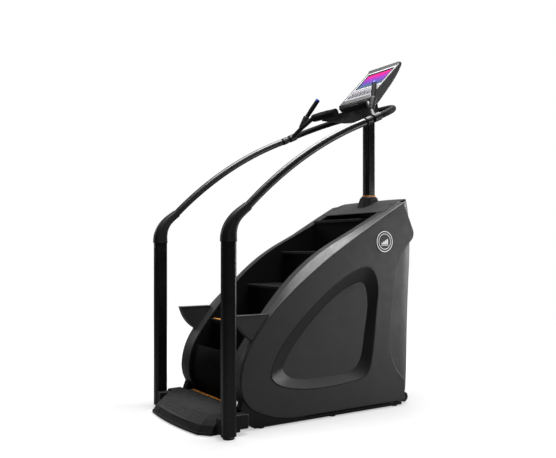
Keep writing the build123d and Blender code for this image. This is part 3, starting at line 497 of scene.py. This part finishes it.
def badge_emblem(side, name):
    """Emblem on the badge of one side, 1 for the right and -1 for the left."""
    def on_badge(u, v, w):
        return Vector((side * (badge_high.x + w), badge_y + u, badge_z + v))

    work = bmesh.new()
    for outer, inner in EMBLEM_RINGS:
        outline_solid(work, (circle(outer), circle(inner)), on_badge, EMBLEM_RELIEF)
    for step in range(EMBLEM_STEPS):
        middle = (side * (STEP_FIRST_ACROSS + STEP_PITCH * step), STEP_FIRST_UP + STEP_RISE * step)
        bar = rounded_box(STEP_WIDTH, STEP_HEIGHT + STEP_GROWTH * step, STEP_CORNER, middle)
        outline_solid(work, (bar,), on_badge, EMBLEM_RELIEF)
    outline_solid(work, (rounded_box(*BASE_LINE),), on_badge, EMBLEM_RELIEF)
    return finished(work, name)


for side, word in ((1, "right"), (-1, "left")):
    emblem_name = "badge_emblem_" + word
    piece(emblem_name, badge_emblem(side, emblem_name), "badge", "frame")

# membrane buttons and trim on the keypad, clear of the round keys
FACE_TILT = 45
PANEL_HALF_THICK = 0.0006
BUTTON_RELIEF = 0.0011
BUTTON_CORNER = 0.003
WIDE_COUNT, WIDE_PITCH, WIDE_SIZE, WIDE_ROWS = 7, 0.036, (0.026, 0.009), (0.016, 0.030)
SMALL_COUNT, SMALL_PITCH, SMALL_SIZE, SMALL_ROW = 5, 0.020, (0.014, 0.012), 0.048
TRIM_RELIEF = 0.0008
TRIM_MIDDLE = (0, 0.074)
TRIM_OUTER, TRIM_INNER = (0.110, 0.018, 0.004), (0.106, 0.014, 0.003)
STUD_RADIUS, STUD_RELIEF, STUD_ACROSS, STUD_UP, STUD_POINTS = 0.0045, 0.0010, 0.112, 0.078, 24

panel_low, panel_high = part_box("keypad_panel")
panel_middle = Vector((0, (panel_low.y + panel_high.y) / 2, (panel_low.z + panel_high.z) / 2))
tilt = radians(FACE_TILT)
up_face = Vector((0, cos(tilt), sin(tilt)))
out_face = Vector((0, -sin(tilt), cos(tilt)))
panel_length = (Vector((0, panel_high.y, panel_high.z)) - Vector((0, panel_low.y, panel_low.z))).dot(up_face)


def on_keypad(u, v, w):
    """Point on the keypad: across, up from its lower edge, and out of it."""
    along = up_face * (v - panel_length / 2)
    return panel_middle + along + out_face * (PANEL_HALF_THICK + w) + Vector((u, 0, 0))


def keypad_buttons(name):
    """Two rows of wide buttons and one row of small ones, centred on the keypad."""
    work = bmesh.new()
    for column in range(WIDE_COUNT):
        across = (column - (WIDE_COUNT - 1) / 2) * WIDE_PITCH
        for row in WIDE_ROWS:
            outline_solid(work, (rounded_box(*WIDE_SIZE, BUTTON_CORNER, (across, row)),), on_keypad,
                          BUTTON_RELIEF)
    for column in range(SMALL_COUNT):
        across = (column - (SMALL_COUNT - 1) / 2) * SMALL_PITCH
        outline_solid(work, (rounded_box(*SMALL_SIZE, BUTTON_CORNER, (across, SMALL_ROW)),), on_keypad,
                      BUTTON_RELIEF)
    return finished(work, name)


def keypad_trim(name):
    """Silver frame in the middle of the keypad, with a round stud on either side."""
    work = bmesh.new()
    loops = (rounded_box(*TRIM_OUTER, TRIM_MIDDLE), rounded_box(*TRIM_INNER, TRIM_MIDDLE))
    outline_solid(work, loops, on_keypad, TRIM_RELIEF)
    for across in (-STUD_ACROSS, STUD_ACROSS):
        stud = circle(STUD_RADIUS, (across, STUD_UP), STUD_POINTS)
        outline_solid(work, (stud,), on_keypad, STUD_RELIEF)
    return finished(work, name)


piece("keypad_buttons", keypad_buttons("keypad_buttons"), "key", "console")
piece("keypad_trim", keypad_trim("keypad_trim"), "silver", "console")


# ---------------------------------------------------------------- floor, light and camera

FLOOR_HALF = 30.0
WHITE = (1, 1, 1, 1)
WORLD_FILL, WORLD_SEEN = 0.06, 1.0
SENSOR_WIDTH, LENS_LENGTH, LENS_SHIFT = 36, 43.8, 0.0378
CAMERA_PLACE = (3.381, -2.2745, 0.940)
CAMERA_LOOKS = (-0.8387, 0.5446, 0)


def pale_floor():
    """Pale floor that fades into the white backdrop with the distance from the machine."""
    f = Finish("pale_floor", 0.9)
    reach = f.node("ShaderNodeVectorMath", "Value", {"operation": "LENGTH"}, n0=f.place)
    seen = f.node("ShaderNodeLightPath", "Is Camera Ray")
    grain = f.levels(f.noise(1.5, 3.0), 0.86, 0.9)
    fade = f.math("MULTIPLY", f.range(reach, 2.0, 6.0, 0.36, 0.0), f.range(seen, 0.0, 1.0, 0.56, 1.0))
    glow = f.range(reach, 1.0, 3.8, 0.50, 1.0)
    f.set("Base Color", f.math("MULTIPLY", grain, fade))
    f.set("Emission Color", WHITE)
    f.set("Emission Strength", f.math("MULTIPLY", glow, f.range(seen, 0.0, 1.0, 0.12, 1.0)))
    f.set("Specular IOR Level", 0.0)
    return f.material


floor_mesh = bpy.data.meshes.new("floor")
floor_corners = [(x * FLOOR_HALF, y * FLOOR_HALF, 0) for x, y in ((-1, -1), (1, -1), (1, 1), (-1, 1))]
floor_mesh.from_pydata(floor_corners, [], [(0, 1, 2, 3)])
floor_mesh.materials.append(pale_floor())
floor = bpy.data.objects.new("floor", floor_mesh)
scene.collection.objects.link(floor)

world = bpy.data.worlds.new("studio")
scene.world = world
world.use_nodes = True
sky_nodes, sky_links = world.node_tree.nodes, world.node_tree.links
direct = sky_nodes.new("ShaderNodeLightPath").outputs["Is Camera Ray"]
strength = sky_nodes.new("ShaderNodeMapRange")
strength.inputs["To Min"].default_value = WORLD_FILL
strength.inputs["To Max"].default_value = WORLD_SEEN
sky_links.new(direct, strength.inputs["Value"])
sky_links.new(strength.outputs["Result"], sky_nodes["Background"].inputs["Strength"])
sky_nodes["Background"].inputs["Color"].default_value = WHITE


def facing(direction):
    """Rotation that points a lamp or camera along a direction."""
    return Vector(direction).to_track_quat("-Z", "Y").to_euler()


def softbox(name, place, aim, size, power):
    """Rectangular area light, size in metres and power in watts, that faces a point."""
    light = bpy.data.lights.new(name, "AREA")
    light.shape = "RECTANGLE"
    light.size, light.size_y = size
    light.energy = power
    lamp = bpy.data.objects.new(name, light)
    lamp.location = place
    lamp.visible_camera = False
    lamp.rotation_euler = facing(Vector(aim) - Vector(place))
    scene.collection.objects.link(lamp)


softbox("top_box", place=(0.0, 0.4, 4.2), aim=(0, 0, 0.8), size=(2.4, 2.6), power=370)
softbox("right_strip", place=(2.5, 3.2, 0.8), aim=(0.3, 0.35, 0.55), size=(0.9, 1.3), power=36)
softbox("rear_box", place=(0.5, 4.7, 2.0), aim=(0.2, 0.2, 1.0), size=(0.7, 3.4), power=120)
softbox("front_box", place=(2.6, -4.2, 2.4), aim=(0.3, 0, 0.9), size=(1.2, 1.2), power=6)
softbox("left_strip", place=(-3.4, -1.4, 2.2), aim=(0, -0.2, 1.0), size=(0.4, 2.6), power=16)

lens = bpy.data.cameras.new("camera")
lens.sensor_width = SENSOR_WIDTH
lens.lens = LENS_LENGTH
lens.shift_y = LENS_SHIFT
camera = bpy.data.objects.new("camera", lens)
camera.location = CAMERA_PLACE
camera.rotation_euler = facing(CAMERA_LOOKS)
scene.collection.objects.link(camera)
scene.camera = camera
scene.view_settings.view_transform = "Standard"
